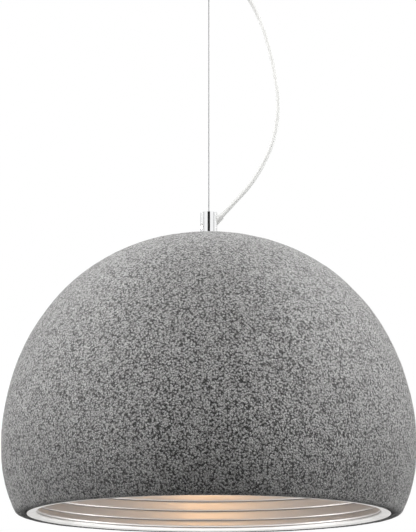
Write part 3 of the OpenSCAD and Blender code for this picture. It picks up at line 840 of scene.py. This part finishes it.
class PENDANT_OT_felt_cover(bpy.types.Operator):
    """Cover the dome in felt, turned in round the lip"""

    bl_idname = "pendant.felt_cover"
    bl_label = "Felt cover"

    def execute(self, context):
        felt = context.scene.pendant_felt
        wall = 2 * LIP_R
        crown_r = DOME_R + CROWN_RISE
        top = math.degrees(math.acos(FELT_HOLE / crown_r))
        under_top = math.degrees(math.acos(FELT_HOLE / (crown_r - felt.thickness)))
        facing = 180 + LIP_ANGLE
        outline = [dome(angle) for angle in spread(top, LIP_ANGLE, 0.8)]
        outline += lip_arc(LIP_R, LIP_ANGLE, facing - 360)[1:]
        outline += [dome(angle, wall) for angle in spread(LIP_ANGLE, FELT_EDGE, 0.8)][1:]
        inner_face = spread(FELT_EDGE, LIP_ANGLE, 1.6)
        outline += [dome(angle, wall - felt.thickness) for angle in inner_face]
        outline += lip_arc(LIP_R - felt.thickness, facing - 360, LIP_ANGLE, 15.0)[1:]
        outline += [dome(angle, felt.thickness) for angle in spread(LIP_ANGLE, under_top, 3.0)][1:]
        cover = lathe("felt_cover", outline, FELT_SEGMENTS, "felt")
        swell(cover, felt.swell, 0.035, FELT_HOLE)
        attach(cover, "pendant")
        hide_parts("shade_felt")
        return {"FINISHED"}


class PENDANT_OT_shade_inside(bpy.types.Operator):
    """Finish the padding, the moulded shell, the rim ring and the plates under the stem"""

    bl_idname = "pendant.shade_inside"
    bl_label = "Shade inside"

    def execute(self, context):
        dress_nodes([
            "shade_core", "shade_shell", "rim_ring", "reflector_washer",
            "hub_top_plate", "hub_bottom_plate", "hub_screws",
        ])
        return {"FINISHED"}


class PENDANT_OT_reflector(bpy.types.Operator):
    """Line the shade with the ribbed reflector"""

    bl_idname = "pendant.reflector"
    bl_label = "Reflector"

    def execute(self, context):
        settings = context.scene.pendant_reflector
        top = FIRST_GROOVE + settings.ribs * GROOVE_PITCH
        outline = [liner(angle, -LINER_SHEET) for angle in spread(top, LINER_FOOT, 3.0)]
        groove_shade_levels = [0.0] * len(outline)
        for rib in range(-1, settings.ribs):
            for share in RIB_SHARES:
                angle = FIRST_GROOVE + (rib + share) * GROOVE_PITCH
                if angle < LINER_FOOT:
                    continue
                rise = 1 - abs(2 * share - 1) ** RIB_FLATNESS
                outline.append(liner(angle, settings.rib_height * rise))
                # Painted shade: full at each groove, fading away across the rib
                groove_shade_levels.append(max(0.0, 1 - GROOVE_SHADE_FADE * min(share, 1 - share)))
        outline.append(liner(top))
        groove_shade_levels.append(1.0)
        piece = lathe("reflector_liner", outline, LINER_SEGMENTS, "reflector")
        # The painted groove shade, stored on each point for the reflector's finish
        groove = piece.data.attributes.new("groove", "FLOAT", "POINT")
        around = [depth for depth in groove_shade_levels for _ in range(LINER_SEGMENTS)]
        groove.data.foreach_set("value", around)
        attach(piece, "pendant")
        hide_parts("reflector")
        return {"FINISHED"}


class PENDANT_OT_stem(bpy.types.Operator):
    """Finish the stem, what it holds, and its wiring"""

    bl_idname = "pendant.stem"
    bl_label = "Stem"

    def execute(self, context):
        dress_nodes([
            "stem_tube", "stem_insert", "stem_screw", "stem_nut", "stem_end_plug", "earth_lug",
            "stem_lead_live", "stem_lead_neutral", "stem_lead_earth",
        ])
        return {"FINISHED"}


class PENDANT_OT_ceiling_parts(bpy.types.Operator):
    """Finish the canopy, its bracket and the terminals inside it"""

    bl_idname = "pendant.ceiling_parts"
    bl_label = "Ceiling parts"

    def execute(self, context):
        dress_nodes([
            "ceiling_bracket", "bracket_nipple", "nipple_nuts", "canopy",
            "terminal_block", "terminal_inserts", "terminal_screws", "block_screw", "earth_screw",
            "ceiling_lead_live", "ceiling_lead_neutral", "ceiling_lead_earth",
        ])
        return {"FINISHED"}


class PENDANT_OT_wire_gripper(bpy.types.Operator):
    """Finish the gripper that holds the wire"""

    bl_idname = "pendant.wire_gripper"
    bl_label = "Wire gripper"

    def execute(self, context):
        dress_nodes(["gripper_body", "gripper_spring", "gripper_plunger", "gripper_balls"])
        spring = frame["nodes"]["gripper_spring"]
        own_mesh(spring)
        return {"FINISHED"}


class PENDANT_OT_lampholder(bpy.types.Operator):
    """Finish the lampholder and its tube"""

    bl_idname = "pendant.lampholder"
    bl_label = "Lampholder"

    def execute(self, context):
        dress_nodes([
            "holder_tube", "holder_cap", "holder_skirt", "holder_core", "holder_thread",
            "holder_contact", "holder_terminals",
        ])
        return {"FINISHED"}


class PENDANT_OT_lamp(bpy.types.Operator):
    """Finish the lamp and light its diffuser"""

    bl_idname = "pendant.lamp"
    bl_label = "Lamp"

    def execute(self, context):
        dress_nodes([
            "lamp_cap", "lamp_insulator", "lamp_tip", "lamp_housing", "lamp_diffuser",
            "led_board", "led_chips",
        ])
        return {"FINISHED"}


class PENDANT_PT_panel(bpy.types.Panel):
    """Lists the light's pieces"""

    bl_idname = "PENDANT_PT_panel"
    bl_label = "Felt Dome Pendant"
    bl_space_type = "VIEW_3D"
    bl_region_type = "UI"
    bl_category = "Pendant"

    def draw(self, context):
        for operator in OPERATORS:
            self.layout.operator(operator.bl_idname)


SETTINGS = {
    "pendant_felt": FeltSettings,
    "pendant_reflector": ReflectorSettings,
    "pendant_cord": CordSettings,
    "pendant_lamp": LampSettings,
    "pendant_studio": StudioSettings,
}
OPERATORS = [
    PENDANT_OT_stage,
    PENDANT_OT_power_cord,
    PENDANT_OT_suspension_wire,
    PENDANT_OT_felt_cover,
    PENDANT_OT_shade_inside,
    PENDANT_OT_reflector,
    PENDANT_OT_stem,
    PENDANT_OT_ceiling_parts,
    PENDANT_OT_wire_gripper,
    PENDANT_OT_lampholder,
    PENDANT_OT_lamp,
]


def register():
    for kind in (*SETTINGS.values(), *OPERATORS, PENDANT_PT_panel):
        bpy.utils.register_class(kind)
    for name, kind in SETTINGS.items():
        setattr(bpy.types.Scene, name, PointerProperty(type=kind))


def unregister():
    for name in SETTINGS:
        delattr(bpy.types.Scene, name)
    for kind in reversed((*SETTINGS.values(), *OPERATORS, PENDANT_PT_panel)):
        bpy.utils.unregister_class(kind)


def main():
    """Registers the add-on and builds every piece."""
    register()
    for operator in OPERATORS:
        section, action = operator.bl_idname.split(".")
        getattr(getattr(bpy.ops, section), action)()


if __name__ == "__main__":
    main()
